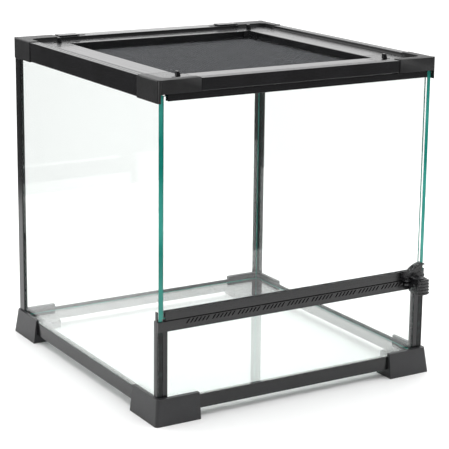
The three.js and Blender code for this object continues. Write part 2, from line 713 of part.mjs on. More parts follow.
// A dished fan: a raised rim along its arc and a low hub, turned about the axis that faces forward.
function fan() {
  const profile = [
    [0, 0], [fanRadius, 0], [fanRadius, fanRimHeight], [fanRadius - fanRimWidth, fanRimHeight],
    [fanRadius - fanRimWidth - fanDish, fanPlate], [fanHubRadius + 2 * fanDish, fanPlate],
    [fanHubRadius, fanHubHeight], [0, fanHubHeight],
  ].map(([r, h]) => new THREE.Vector2(r, h));
  const turned = new THREE.LatheGeometry(profile, 4 * roundSegments).rotateX(Math.PI);
  const centreX = halfWidth - fanInset;
  turned.translate(centreX, doorFrontY + bite, ventTop - fanDrop);
  const top = ventTop - fanDrop + fanRadius;
  const outline = roundedCorner([gripLeft, shellTop - bite], [doorRight + fanBeyondDoor, top], fanEndRadius);
  const room = prism(outline, 'y', doorFrontY - fanRimHeight - 1, doorFrontY + bite);
  return common(turned, room);
}

function addGrip() {
  const clamp = prism(channel(doorFoot, bottomProfileHeight, 1), 'x', gripLeft, doorRight);
  const shell = block([shellLeft, shellRight], [shellFrontY, shellBackY], [shellFoot, shellTop]);
  const bridge = block([shellLeft, shellRight], [shellBackY - bite, doorFrontY + bite], [doorFoot, shellTop]);
  const hollowX = [shellLeft + shellWall, shellRight - shellWall];
  const hollow = block(hollowX, [shellFrontY - 1, shellBackY - shellWall], [0, shellTop - shellWall]);
  const pinHole = bar(pivotRadius + gap, 'x', shellLeft - 1, shellRight + 1, [pivotY, pivotZ]);
  const body = cut(join(clamp, fan(), shell, bridge, lug(doorFoot, doorFrontY + bite)), hollow, pinHole);
  addPart('door_grip', body, plastic);
}

// The latch lever rocks on its pin: a ribbed pad in front and a hook under the vent rail.
function addLatch() {
  const leverX = [shellLeft + shellWall + slideGap, shellLeft + shellWall + slideGap + leverWidth];
  const middleX = (shellLeft + shellRight) / 2;
  const padX = [middleX - padWidth / 2, middleX + padWidth / 2];
  const padBack = shellFrontY - padClearance;
  const padFront = padBack - padThickness;
  const padFoot = ventBottom - hookClearance - hookThickness;
  const padZ = [padFoot, padFoot + padHeight];
  const crownAt = [middleX, padFront + padCrown];
  const pad = common(block(padX, [padFront, padBack], padZ), bar(padCrown, 'z', ...padZ, crownAt));
  const neck = block(leverX, [padBack - bite, pivotY], [pivotZ - hookThickness, pivotZ + hookThickness]);
  const barrel = bar(barrelRadius, 'x', ...leverX, [pivotY, pivotZ]);
  const shank = block(leverX, [pivotY - hookThickness, pivotY + hookThickness / 2], [padFoot, pivotZ]);
  const hookEndY = frontGlassOutY - hookClearance;
  const hook = block(leverX, [pivotY - hookThickness, hookEndY], [padFoot, padFoot + hookThickness]);
  const ribs = [];
  for (let i = 0; i < padRibs; i += 1) {
    const z = padFoot + ((i + 0.5) / padRibs) * padHeight;
    const ribZ = [z - padRibHeight / 2, z + padRibHeight / 2];
    const flare = padFlare * (1 - i / (padRibs - 1));
    const room = block([padX[0] - flare, padX[1] + flare], [padFront - padRibProud, padBack], ribZ);
    ribs.push(common(room, bar(padCrown + padRibProud, 'z', ...ribZ, crownAt)));
  }
  const pinHole = bar(pivotRadius + gap, 'x', 0, halfWidth, [pivotY, pivotZ]);
  addPart('latch_lever', cut(join(pad, neck, barrel, shank, hook, ...ribs), pinHole), plastic);
  const pin = bar(pivotRadius, 'x', shellLeft + gap, shellRight - gap, [pivotY, pivotZ]);
  addPart('latch_pin', pin, brightSteel);
  addSpring(leverX[1] + gap + springWire, shellRight - shellWall - gap - springWire);
}

// A torsion spring coiled round the latch pin.
function addSpring(from, to) {
  class Coil extends THREE.Curve {
    getPoint(t, target = new THREE.Vector3()) {
      const turn = 2 * Math.PI * springTurns * t;
      const x = from + (to - from) * t;
      return target.set(x, pivotY + springCoil * Math.cos(turn), pivotZ + springCoil * Math.sin(turn));
    }
  }
  const section = new THREE.Shape().absarc(0, 0, springWire, 0, 2 * Math.PI);
  const steps = 12 * springTurns;
  const geometry = new THREE.ExtrudeGeometry(section, { extrudePath: new Coil(), steps, curveSegments: 3 });
  addPart('latch_spring', geometry, brightSteel);
}

addGlass();
addBaseRails();
addFeet();
addPosts();
addVentRail();
addTopFrame();
addPortCovers();
addLid();
addDoor();
addGrip();
addLatch();

// The origin is under the middle of everything, latch included.
tank.position.y = -(latchFrontY + footRearY) / 2;
const assembly = new THREE.Group();
assembly.add(tank);

export default assembly;
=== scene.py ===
import json
import math

import bmesh
import bpy
from mathutils import Matrix, Vector


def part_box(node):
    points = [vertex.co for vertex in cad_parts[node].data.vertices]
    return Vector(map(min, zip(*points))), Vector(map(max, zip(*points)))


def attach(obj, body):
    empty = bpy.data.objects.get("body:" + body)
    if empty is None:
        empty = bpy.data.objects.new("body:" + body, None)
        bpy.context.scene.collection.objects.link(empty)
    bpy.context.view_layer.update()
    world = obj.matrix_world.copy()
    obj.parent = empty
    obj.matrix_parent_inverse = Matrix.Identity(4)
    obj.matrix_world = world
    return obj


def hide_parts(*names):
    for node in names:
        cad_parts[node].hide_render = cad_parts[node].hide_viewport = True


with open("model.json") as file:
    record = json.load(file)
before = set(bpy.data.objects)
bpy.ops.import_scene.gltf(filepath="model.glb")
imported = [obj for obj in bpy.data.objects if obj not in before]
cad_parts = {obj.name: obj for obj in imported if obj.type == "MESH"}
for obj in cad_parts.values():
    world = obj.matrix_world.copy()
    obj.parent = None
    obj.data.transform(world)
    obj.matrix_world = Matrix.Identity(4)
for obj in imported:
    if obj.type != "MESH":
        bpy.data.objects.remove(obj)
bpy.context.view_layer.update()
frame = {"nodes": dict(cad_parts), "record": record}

mm = 0.001
scene = bpy.context.scene
bodyOf = {node: body for body, nodes in frame["record"]["behaviour"]["bodies"].items() for node in nodes}
hands = ("left", "right")
ends = ("front", "rear")
print("frame loaded,", len(bodyOf), "nodes")


def hexColour(code):
    channels = [int(code[i:i + 2], 16) / 255 for i in (0, 2, 4)]
    return [c / 12.92 if c <= 0.04045 else ((c + 0.055) / 1.055) ** 2.4 for c in channels] + [1.0]


def addNode(tree, kind, settings=None, inputs=None):
    node = tree.nodes.new(kind)
    for key, value in (settings or {}).items():
        setattr(node, key, value)
    for key, value in (inputs or {}).items():
        if isinstance(value, bpy.types.NodeSocket):
            tree.links.new(value, node.inputs[key])
        else:
            node.inputs[key].default_value = value
    return node


# a value from one range to another, clamped
def spread(tree, value, low, high, toLow, toHigh):
    settings = {0: value, 1: low, 2: high, 3: toLow, 4: toHigh}
    return addNode(tree, "ShaderNodeMapRange", {}, settings).outputs[0]


def maths(tree, operation, *values):
    return addNode(tree, "ShaderNodeMath", {"operation": operation}, dict(enumerate(values))).outputs[0]


# cloudy noise whose patches are about this many mm across
def noise(tree, place, sizeMm, detail, distortion=0.0):
    inputs = {"Vector": place, "Scale": 1000 / sizeMm, "Detail": detail, "Distortion": distortion}
    return addNode(tree, "ShaderNodeTexNoise", {}, inputs).outputs["Fac"]


def blend(tree, factor, first, second):
    inputs = {0: factor, 6: hexColour(first), 7: hexColour(second)}
    return addNode(tree, "ShaderNodeMix", {"data_type": "RGBA"}, inputs).outputs[2]


def bumped(tree, height, strength, depthMm):
    inputs = {"Strength": strength, "Distance": depthMm * mm, "Height": height}
    return addNode(tree, "ShaderNodeBump", {}, inputs).outputs[0]


def shade(tree, shader):
    addNode(tree, "ShaderNodeOutputMaterial", {}, {"Surface": shader})


def objectPlace(tree):
    return addNode(tree, "ShaderNodeTexCoord").outputs["Object"]


def startMaterial(name):
    material = bpy.data.materials.new(name)
    material.use_nodes = True
    material.node_tree.nodes.clear()
    return material, material.node_tree


def makeObject(name, mesh):
    piece = bpy.data.objects.new(name, mesh)
    scene.collection.objects.link(piece)
    return piece


# the modifiers' result as a plain mesh, in the same object
def bakeDown(piece):
    bpy.context.view_layer.update()
    evaluated = piece.evaluated_get(bpy.context.evaluated_depsgraph_get())
    mesh = bpy.data.meshes.new_from_object(evaluated)
    piece.modifiers.clear()
    piece.data = mesh
    mesh.name = piece.name
    return piece


def pieceName(node):
    return node.replace("_", "-")


def hand(piece, node):
    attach(piece, bodyOf[node])
    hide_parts(node)
    return piece


# Extruded ABS: drawn through a die, so it is smooth, with faint lines along its length and a long soft sheen.
# The real die lines are finer than 1.1 mm; they are drawn coarser so that they show.
def extrudedAbs(axis):
    look = {"colour": "0f0f10", "worn": "19191b", "roughness": 0.2, "dieLineMm": 1.1, "dieLineLengthMm": 420,
            "patchMm": 26.3, "bump": 0.03, "bumpMm": 0.1}
    material, tree = startMaterial("extruded ABS along " + axis)
    place = objectPlace(tree)
    across, along = 1000 / look["dieLineMm"], 1000 / look["dieLineLengthMm"]
    scale = [along if a == axis else across for a in "xyz"]
    lines = addNode(tree, "ShaderNodeMapping", {}, {"Vector": place, "Scale": scale}).outputs[0]
    drawn = noise(tree, lines, 1000, 2.0)  # the mapping already holds the lines' size
    patch = noise(tree, place, look["patchMm"], 3.0)
    skin = addNode(tree, "ShaderNodeBsdfPrincipled", {}, {
        "Base Color": blend(tree, spread(tree, patch, 0.35, 0.75, 0.0, 1.0), look["colour"], look["worn"]),
        "Roughness": spread(tree, drawn, 0.3, 0.7, look["roughness"] - 0.02, look["roughness"] + 0.05),
        "IOR": 1.53,
        "Normal": bumped(tree, drawn, look["bump"], look["bumpMm"])})
    shade(tree, skin.outputs[0])
    return material


# Moulded ABS: a fine pebble from the mould, with paler rubbed spots. Spark-eroded parts are matt and mottled,
# satin ones keep a sheen. The real grain is about 0.3 mm; it is drawn coarser so that it shows.
def mouldedAbs(name, look):
    material, tree = startMaterial(name)
    place = objectPlace(tree)
    grain = noise(tree, place, look["grainMm"], 3.0)
    pebbles = {"Vector": place, "Scale": 0.8 * 1000 / look["grainMm"]}
    pebble = addNode(tree, "ShaderNodeTexVoronoi", {}, pebbles).outputs["Distance"]
    patch = noise(tree, place, look["patchMm"], 4.0)
    rubbedAndSheen = maths(tree, "MULTIPLY", spread(tree, patch, 0.4, 0.72, 0.1, 1.0),
                   spread(tree, grain, 0.45, 0.7, 0.1, 1.0))
    skin = addNode(tree, "ShaderNodeBsdfPrincipled", {}, {
        "Base Color": blend(tree, rubbedAndSheen, look["colour"], look["rubbedAndSheen"]),
        "Roughness": spread(tree, grain, 0.3, 0.7, look["roughness"] - 0.07, look["roughness"] + 0.1),
        "IOR": 1.53,
        "Specular IOR Level": look["specular"],
        "Normal": bumped(tree, maths(tree, "ADD", grain, pebble), look["bump"], look["bumpMm"])})
    shade(tree, skin.outputs[0])
    return material


# Float glass: clear with a faint green cast, mirror-smooth, with a breath of wiping marks.
# It counts as clear for shadow rays, so the lamps reach through it.
def floatGlass():
    look = {"body": "fdfffe", "shade": "fbfefd", "wipeMm": 90, "haze": 0.02}
    material, tree = startMaterial("float glass")
    wipes = noise(tree, objectPlace(tree), look["wipeMm"], 4.0, 1.2)
    pane = addNode(tree, "ShaderNodeBsdfPrincipled", {}, {
        "Base Color": hexColour(look["body"]),
        "Roughness": spread(tree, wipes, 0.55, 0.85, 0.0, look["haze"]),
        "IOR": 1.52,
        "Transmission Weight": 1.0})
    clear = addNode(tree, "ShaderNodeBsdfTransparent", {}, {"Color": hexColour(look["shade"])})
    path = addNode(tree, "ShaderNodeLightPath")
    shown = addNode(tree, "ShaderNodeMixShader", {}, {
        0: path.outputs["Is Shadow Ray"], 1: pane.outputs[0], 2: clear.outputs[0]})
    shade(tree, shown.outputs[0])
    return material


# Ground glass edge: light trapped between the faces comes out here, a deep sea green with paler streaks.
def groundEdge():
    look = {"deep": "028a7c", "pale": "46b2a4", "roughness": 0.16, "streakMm": 60, "grindMm": 1.43,
            "bump": 0.2, "bumpMm": 0.1}
    material, tree = startMaterial("ground glass edge")
    place = objectPlace(tree)
    streak = noise(tree, place, look["streakMm"], 2.0)
    grind = noise(tree, place, look["grindMm"], 2.0)
    skin = addNode(tree, "ShaderNodeBsdfPrincipled", {}, {
        "Base Color": blend(tree, spread(tree, streak, 0.4, 0.7, 0.0, 1.0), look["deep"], look["pale"]),
        "Roughness": look["roughness"],
        "IOR": 1.52,
        "Normal": bumped(tree, grind, look["bump"], look["bumpMm"])})
    shade(tree, skin.outputs[0])
    return material


# Black silicone: the bead that bonds a pane's edge in its channel, drawn dark also as painted shade where the
# posts keep light out of that edge; soft, a little glossy and slightly uneven.
def siliconeAndGrooveShade():
    look = {"colour": "0b0c0c", "shadedTeal": "20302e", "roughness": 0.38, "unevenMm": 6.25, "bump": 0.4,
            "bumpMm": 0.3}
    material, tree = startMaterial("black silicone")
    uneven = noise(tree, objectPlace(tree), look["unevenMm"], 3.0)
    skin = addNode(tree, "ShaderNodeBsdfPrincipled", {}, {
        # the paler patches are a painted dim teal, the shaded glow of the edge glass
        "Base Color": blend(tree, spread(tree, uneven, 0.45, 0.75, 0.0, 1.0), look["colour"], look["shadedTeal"]),
        "Roughness": look["roughness"],
        "IOR": 1.41,
        "Normal": bumped(tree, uneven, look["bump"], look["bumpMm"])})
    shade(tree, skin.outputs[0])
    return material


# Woven steel wire under a black coat: dark, paler grey in patches of painted sheen where the wires catch the
# light, with a soft metal sheen.
def coatedWire():
    look = {"coat": "2a2b2e", "rubbedAndSheen": "505256", "roughness": 0.4, "metallic": 0.35, "patchMm": 2.38}
    material, tree = startMaterial("coated woven wire")
    patch = noise(tree, objectPlace(tree), look["patchMm"], 2.0)
    skin = addNode(tree, "ShaderNodeBsdfPrincipled", {}, {
        # the paler grey is painted sheen of the lit wire crowns, spread in noise patches
        "Base Color": blend(tree, spread(tree, patch, 0.35, 0.7, 0.0, 1.0), look["coat"], look["rubbedAndSheen"]),
        "Roughness": spread(tree, patch, 0.3, 0.7, look["roughness"] - 0.08, look["roughness"] + 0.1),
        "Metallic": look["metallic"],
        "IOR": 1.5})
    shade(tree, skin.outputs[0])
    return material


# Bright drawn steel: a clean hard highlight, broken by fine mottling.
def brightSteel():
    look = {"metal": "c2c4c6", "dull": "8e9194", "roughness": 0.26, "mottleMm": 0.667}
    material, tree = startMaterial("bright drawn steel")
    mottle = noise(tree, objectPlace(tree), look["mottleMm"], 2.0)
    skin = addNode(tree, "ShaderNodeBsdfPrincipled", {}, {
        "Base Color": blend(tree, spread(tree, mottle, 0.4, 0.7, 0.0, 1.0), look["metal"], look["dull"]),
        "Roughness": spread(tree, mottle, 0.3, 0.7, look["roughness"] - 0.06, look["roughness"] + 0.1),
        "Metallic": 1.0})
    shade(tree, skin.outputs[0])
    return material


railAbs = {axis: extrudedAbs(axis) for axis in "xyz"}
sparkAbs = mouldedAbs("moulded ABS, spark texture", {
    "colour": "151516", "rubbedAndSheen": "323234", "roughness": 0.5, "grainMm": 1.3, "patchMm": 11.1,
    "bump": 0.6, "bumpMm": 0.15, "specular": 0.45})
footAbs = mouldedAbs("moulded ABS, fine matt", {
    "colour": "272729", "rubbedAndSheen": "333335", "roughness": 0.42, "grainMm": 1.1, "patchMm": 11.1,
    "bump": 0.2, "bumpMm": 0.15, "specular": 0.5})
satinAbs = mouldedAbs("moulded ABS, satin", {
    "colour": "19191b", "rubbedAndSheen": "28282a", "roughness": 0.26, "grainMm": 1.6, "patchMm": 11.1,
    "bump": 0.12, "bumpMm": 0.15, "specular": 0.5})
siliconeAndShade = siliconeAndGrooveShade()
glass = floatGlass()
glassEdge = groundEdge()
wire = coatedWire()
steel = brightSteel()
print("materials made")


merging = {"weldMm": 0.004, "flatAngle": 0.6, "squareAngle": 60}


# a copy of a frame node's mesh, its doubled points welded and its flat pairs of triangles joined
def cleanCopy(node):
    shape = bmesh.new()
    shape.from_mesh(frame["nodes"][node].data)
    bmesh.ops.remove_doubles(shape, verts=shape.verts, dist=merging["weldMm"] * mm)
    bmesh.ops.join_triangles(shape, faces=shape.faces[:],
                             angle_face_threshold=math.radians(merging["flatAngle"]),
                             angle_shape_threshold=math.radians(merging["squareAngle"]))
    mesh = bpy.data.meshes.new(pieceName(node))
    shape.to_mesh(mesh)
    shape.free()
    return makeObject(pieceName(node), mesh)


corner = {"upright": 2.2, "top": 1.5, "segments": 4, "reach": 1.0}


# rounds a corner piece's outside edges: the upright one and the two along its top
def roundOutside(piece):
    shape = bmesh.new()
    shape.from_mesh(piece.data)
    reach = corner["reach"] * mm
    out = [max(abs(v.co[i]) for v in shape.verts) - reach for i in range(3)]
    for radius, picked in (("top", (0, 2)), ("top", (1, 2)), ("upright", (0, 1))):
        edges = [e for e in shape.edges if e.calc_length() > reach
                 and all(abs(v.co[i]) > out[i] for v in e.verts for i in picked)]
        bmesh.ops.bevel(shape, geom=edges, offset=corner[radius] * mm, offset_type="OFFSET",
                        segments=corner["segments"], profile=0.5, affect="EDGES", clamp_overlap=True)
    shape.to_mesh(piece.data)
    shape.free()


peg = {"taper": 0.35, "lean": 0.8, "clear": 0.2}


# gives a lock's finger stub its taper and its lean to the left
def leanPeg(piece, node):
    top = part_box(node)[1].z
    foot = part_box("lid_corner_front_left")[1].z + peg["clear"] * mm
    verts = [v for v in piece.data.vertices if v.co.z > foot]
    middle = sum(v.co.x for v in verts) / len(verts)
    for vert in verts:
        rise = (vert.co.z - foot) / (top - foot)
        vert.co.x = middle + (vert.co.x - middle) * (1 - peg["taper"] * rise) - peg["lean"] * mm * rise


groove = {"halfWidth": 0.9, "depth": 0.8, "above": 0.5, "past": 2}  # sizes of the cutter, not of the groove


# a long V-shaped cutter for a groove along x or y, its point down and its flat side above the rail
def grooveCutter(axis, middle, top, low, high):
    half, depth, above = (groove[key] * mm for key in ("halfWidth", "depth", "above"))
    section = [(middle - half, top + above), (middle, top - depth), (middle + half, top + above)]
    shape = bmesh.new()
    rings = []
    for run in (low, high):
        points = [(run, u, v) if axis == "x" else (u, run, v) for u, v in section]
        rings.append([shape.verts.new(p) for p in points])
    shape.faces.new(rings[0])
    shape.faces.new(rings[1])
    for i in range(3):
        shape.faces.new((rings[0][i], rings[0][i - 1], rings[1][i - 1], rings[1][i]))
    bmesh.ops.recalc_face_normals(shape, faces=shape.faces)
    mesh = bpy.data.meshes.new("groove cutter")
    shape.to_mesh(mesh)
    shape.free()
    return makeObject("groove-cutter", mesh)


rounding = {"sharperThan": 38, "segments": 2, "flatWeight": 80, "smoothUpTo": 30}


# marks the outward edges for the bevel; inward ones stay sharp, so sliding pieces keep their room
def markEdges(piece):
    shape = bmesh.new()
    shape.from_mesh(piece.data)
    weight = shape.edges.layers.float.new("bevel_weight_edge")
    for edge in shape.edges:
        outward = edge.is_manifold and edge.is_convex
        sharp = outward and edge.calc_face_angle() > math.radians(rounding["sharperThan"])
        edge[weight] = 1.0 if sharp else 0.0
    shape.to_mesh(piece.data)
    shape.free()


# Cuts the grooves, rounds the edges, keeps the large faces flat in shading, and puts the piece on its body.
# A turned piece has curved faces all over, so its shading is smooth up to its sharper edges.
def finishPlastic(piece, node, material, edge, cutters=(), turned=False):
    for cutter in cutters:
        cut = piece.modifiers.new("groove", "BOOLEAN")
        cut.operation = "DIFFERENCE"
        cut.solver = "EXACT"
        cut.object = cutter
    if cutters:
        bakeDown(piece)
    markEdges(piece)
    bevel = piece.modifiers.new("edge", "BEVEL")
    bevel.width = edge * mm
    bevel.segments = rounding["segments"]
    bevel.limit_method = "WEIGHT"
    bevel.use_clamp_overlap = True
    bevel.loop_slide = False
    if not turned:
        piece.data.shade_smooth()
        flat = piece.modifiers.new("flat faces", "WEIGHTED_NORMAL")
        flat.weight = rounding["flatWeight"]
        flat.keep_sharp = True
    bakeDown(piece)
    if turned:
        piece.data.shade_smooth()
        piece.data.set_sharp_from_angle(angle=math.radians(rounding["smoothUpTo"]))
    for cutter in cutters:
        bpy.data.objects.remove(cutter)
    piece.data.materials.clear()
    piece.data.materials.append(material)
    piece.data.polygons.foreach_set("material_index", [0] * len(piece.data.polygons))
    return hand(piece, node)


rails = {"edge": 0.45, "rimGrooves": (3.4, 7.4), "barGroove": 8.5, "postEdge": 0.35, "ventEdge": 0.12}


# the cutter of a rail's groove, which runs along its top, this far in from its outer side
def topGroove(node, axis, inset):
    low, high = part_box(node)
    outward = 1 if node.endswith(("right", "rear")) else -1
    across = 0 if axis == "y" else 1
    outer = high[across] if outward > 0 else low[across]
    run = 1 - across
    past = groove["past"] * mm
    return grooveCutter(axis, outer - outward * inset * mm, high.z, low[run] - past, high[run] + past)


for side, axis in (("front", "x"), ("rear", "x"), ("left", "y"), ("right", "y")):
    base = "base_rail_" + side
    finishPlastic(cleanCopy(base), base, railAbs[axis], rails["edge"])
    rim = "top_rail_" + side
    rimCutters = [] if side == "rear" else [topGroove(rim, axis, inset) for inset in rails["rimGrooves"]]
    finishPlastic(cleanCopy(rim), rim, railAbs[axis], rails["edge"], rimCutters)
    lidBar = "lid_bar_" + side
    finishPlastic(cleanCopy(lidBar), lidBar, railAbs[axis], rails["edge"],
                  [topGroove(lidBar, axis, rails["barGroove"])])
for side in hands:
    for post in ("rear_post_", "front_post_", "front_trim_"):
        finishPlastic(cleanCopy(post + side), post + side, railAbs["z"], rails["postEdge"])
for node in ("door_top_channel", "door_bottom_channel"):
    finishPlastic(cleanCopy(node), node, railAbs["x"], rails["postEdge"])
finishPlastic(cleanCopy("vent_rail"), "vent_rail", railAbs["x"], rails["ventEdge"])
print("rails and posts done")

mouldings = {"foot_": (footAbs, 0.8), "top_corner_": (sparkAbs, 0.5), "lid_corner_": (satinAbs, 0.4),
             "lid_lock_": (satinAbs, 0.5)}
handles = {"edge": 0.3, "turned": ("door_grip", "latch_lever")}
for stem, (finish, edge) in mouldings.items():
    for end in ends:
        for side in hands:
            node = stem + end + "_" + side
            piece = cleanCopy(node)
            if stem == "top_corner_":
                roundOutside(piece)
            if stem == "lid_lock_":
                leanPeg(piece, node)
            finishPlastic(piece, node, finish, edge)
for side in hands:
    cover = "cable_port_cover_" + side
    finishPlastic(cleanCopy(cover), cover, satinAbs, handles["edge"])
for node in handles["turned"]:
    finishPlastic(cleanCopy(node), node, satinAbs, handles["edge"], turned=True)
print("mouldings done")


panes = {"arris": 0.35, "flatFacing": 0.99, "frontFacing": 0.3,
         "names": ("floor_glass", "side_glass_left", "side_glass_right", "rear_glass", "front_lower_glass",
                   "door_glass")}
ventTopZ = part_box("vent_rail")[1].z


# A pane with its edges ground off. All but its two large faces is edge glass, and where the front posts hold
# the side panes, below the vent rail's top, that edge is black silicone, which also paints the groove's
# shade.
def makePane(node):
    low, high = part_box(node)
    size = high - low
    middle = Matrix.Translation((low + high) / 2)
    thin = min(range(3), key=lambda i: size[i])
    shape = bmesh.new()
    bmesh.ops.create_cube(shape, size=1.0)
    bmesh.ops.transform(shape, matrix=middle @ Matrix.Diagonal((*size, 1)), verts=shape.verts)
    bmesh.ops.bevel(shape, geom=shape.edges[:], offset=panes["arris"] * mm, offset_type="OFFSET", segments=1,
                    profile=0.5, affect="EDGES")
    if node.startswith("side"):
        bmesh.ops.bisect_plane(shape, geom=shape.verts[:] + shape.edges[:] + shape.faces[:],
                               plane_co=(0, 0, ventTopZ), plane_no=(0, 0, 1))
    shape.normal_update()
    for face in shape.faces:
        front = node.startswith("side") and face.normal.y < -panes["frontFacing"]
        # the front edge down in the posts' groove takes the silicone: painted shade
        grooveShaded = front and face.calc_center_median().z < ventTopZ
        face.material_index = 0 if abs(face.normal[thin]) > panes["flatFacing"] else 2 if grooveShaded else 1
    mesh = bpy.data.meshes.new(pieceName(node))
    shape.to_mesh(mesh)
    shape.free()
    for material in (glass, glassEdge, siliconeAndShade):
        mesh.materials.append(material)
    return hand(makeObject(pieceName(node), mesh), node)


for node in panes["names"]:
    makePane(node)
print("glass done")


# the real weave is finer; it is drawn coarser so that it shows and stays light enough to handle
weave = {"pitch": 2.5, "wireRadius": 0.22, "wave": 0.2, "wireSides": 4}


# the sockets of a geometry tree: sizes and a material in, a mesh out
def startTree(name, sizes):
    tree = bpy.data.node_groups.new(name, "GeometryNodeTree")
    for size in sizes:
        tree.interface.new_socket(name=size, in_out="INPUT", socket_type="NodeSocketFloat")
    tree.interface.new_socket(name="Material", in_out="INPUT", socket_type="NodeSocketMaterial")
    tree.interface.new_socket(name="Geometry", in_out="OUTPUT", socket_type="NodeSocketGeometry")
    return tree, addNode(tree, "NodeGroupInput").outputs


# a round wire along each curve
def makeWire(tree, curve, radius, sides):
    ring = addNode(tree, "GeometryNodeCurvePrimitiveCircle", {}, {"Resolution": sides, "Radius": radius})
    inputs = {"Curve": curve, "Profile Curve": ring.outputs[0], "Fill Caps": True}
    return addNode(tree, "GeometryNodeCurveToMesh", {}, inputs).outputs[0]


def endTree(tree, geometry, material):
    real = addNode(tree, "GeometryNodeRealizeInstances", {}, {"Geometry": geometry}).outputs[0]
    inputs = {"Geometry": real, "Material": material}
    finished = addNode(tree, "GeometryNodeSetMaterial", {}, inputs).outputs[0]
    addNode(tree, "NodeGroupOutput", {}, {0: finished})


# a grid of points, joined by edges along one direction: the wires before they wave
def wireLines(tree, given, along, across):
    rows = []
    for direction in (along, across):
        extent = given["Width"] if direction == 0 else given["Depth"]
        count = maths(tree, "FLOOR", maths(tree, "DIVIDE", extent, given["Pitch"]))
        offset = addNode(tree, "ShaderNodeCombineXYZ", {}, {"XYZ"[direction]: given["Pitch"]}).outputs[0]
        row = addNode(tree, "GeometryNodeMeshLine", {}, {"Count": count, "Offset": offset})
        rows.append(row.outputs[0])
    inputs = {"Points": rows[1], "Instance": rows[0]}
    copies = addNode(tree, "GeometryNodeInstanceOnPoints", {}, inputs).outputs[0]
    return addNode(tree, "GeometryNodeRealizeInstances", {}, {"Geometry": copies}).outputs[0]


# Rows of wires in both directions, each going over and under the ones it crosses.
def weaveTree():
    tree, given = startTree("woven wire", ("Width", "Depth", "Pitch", "Wire Radius", "Wave"))
    joined = addNode(tree, "GeometryNodeJoinGeometry")
    for along, across, first in ((0, 1, -1.0), (1, 0, 1.0)):
        lines = wireLines(tree, given, along, across)
        position = addNode(tree, "GeometryNodeInputPosition").outputs[0]
        place = addNode(tree, "ShaderNodeSeparateXYZ", {}, {0: position}).outputs
        steps = maths(tree, "DIVIDE", maths(tree, "ADD", place[0], place[1]), given["Pitch"])
        odd = maths(tree, "MODULO", maths(tree, "ROUND", steps), 2.0)
        sign = maths(tree, "MULTIPLY_ADD", odd, -2 * first, first)
        lift = maths(tree, "MULTIPLY", sign, given["Wave"])
        move = addNode(tree, "ShaderNodeCombineXYZ", {}, {"Z": lift}).outputs[0]
        inputs = {"Geometry": lines, "Offset": move}
        waved = addNode(tree, "GeometryNodeSetPosition", {}, inputs).outputs[0]
        curve = addNode(tree, "GeometryNodeMeshToCurve", {}, {"Mesh": waved}).outputs[0]
        tree.links.new(makeWire(tree, curve, given["Wire Radius"], weave["wireSides"]), joined.inputs[0])
    endTree(tree, joined.outputs[0], given["Material"])
    return tree


# runs a tree with its named inputs, set by identifier, and leaves a plain mesh
def growPiece(name, tree, values):
    piece = makeObject(name, bpy.data.meshes.new(name))
    grow = piece.modifiers.new("grow", "NODES")
    grow.node_group = tree
    for item in tree.interface.items_tree:
        if item.in_out == "INPUT" and item.name in values:
            grow[item.identifier] = values[item.name]
    return bakeDown(piece)


def makeLidMesh():
    low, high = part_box("lid_mesh")
    size = high - low
    pitch = weave["pitch"] * mm
    piece = growPiece("lid-mesh", weaveTree(), {
        "Width": size.x, "Depth": size.y, "Pitch": pitch, "Wire Radius": weave["wireRadius"] * mm,
        "Wave": weave["wave"] * mm, "Material": wire})
    span = Vector([(math.floor(size[i] / pitch) - 1) * pitch for i in (0, 1)] + [0])
    piece.data.transform(Matrix.Translation((low + high) / 2 - span / 2))
    return hand(piece, "lid_mesh")


lidMesh = makeLidMesh()
print("lid mesh woven,", len(lidMesh.data.polygons), "faces")


pins = {"names": ("hinge_pin_top", "hinge_pin_bottom", "latch_pin"), "chamferShare": 0.3, "steps": 32,
        "weldMm": 0.002, "smoothUpTo": 35}


# a pin with chamfered ends, along the longest side of its node's box
def makePin(node):
    low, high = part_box(node)
    size = high - low
    axis = max(range(3), key=lambda i: size[i])
    radius, length = min(size) / 2, size[axis]
    chamfer = radius * pins["chamferShare"]
    shape = bmesh.new()
    half = length / 2
    profile = [(0, -half), (radius - chamfer, -half), (radius, -half + chamfer), (radius, half - chamfer),
               (radius - chamfer, half), (0, half)]
    points = [shape.verts.new((r, 0, z)) for r, z in profile]
    edges = [shape.edges.new(pair) for pair in zip(points, points[1:])]
    bmesh.ops.spin(shape, geom=points + edges, axis=(0, 0, 1), cent=(0, 0, 0), angle=2 * math.pi,
                   steps=pins["steps"])
    bmesh.ops.remove_doubles(shape, verts=shape.verts, dist=pins["weldMm"] * mm)
    bmesh.ops.recalc_face_normals(shape, faces=shape.faces)
    mesh = bpy.data.meshes.new(pieceName(node))
    shape.to_mesh(mesh)
    shape.free()
    turn = Matrix.Identity(4) if axis == 2 else Matrix.Rotation(math.pi / 2, 4, "Y" if axis == 0 else "X")
    mesh.transform(Matrix.Translation((low + high) / 2) @ turn)
    mesh.materials.append(steel)
    mesh.shade_smooth()
    mesh.set_sharp_from_angle(angle=math.radians(pins["smoothUpTo"]))
    return hand(makeObject(pieceName(node), mesh), node)


for node in pins["names"]:
    makePin(node)

spring = {"turns": 3.0, "wireRadius": 0.35, "wireSides": 10, "stepsPerTurn": 28, "smoothUpTo": 50}


# A coil of round wire.
def coilTree():
    tree, given = startTree("torsion coil", ("Turns", "Coil Radius", "Length", "Wire Radius"))
    coil = addNode(tree, "GeometryNodeCurveSpiral", {}, {
        "Resolution": spring["stepsPerTurn"], "Rotations": given["Turns"], "Height": given["Length"],
        "Start Radius": given["Coil Radius"], "End Radius": given["Coil Radius"]})
    tube = makeWire(tree, coil.outputs[0], given["Wire Radius"], spring["wireSides"])
    endTree(tree, tube, given["Material"])
    return tree


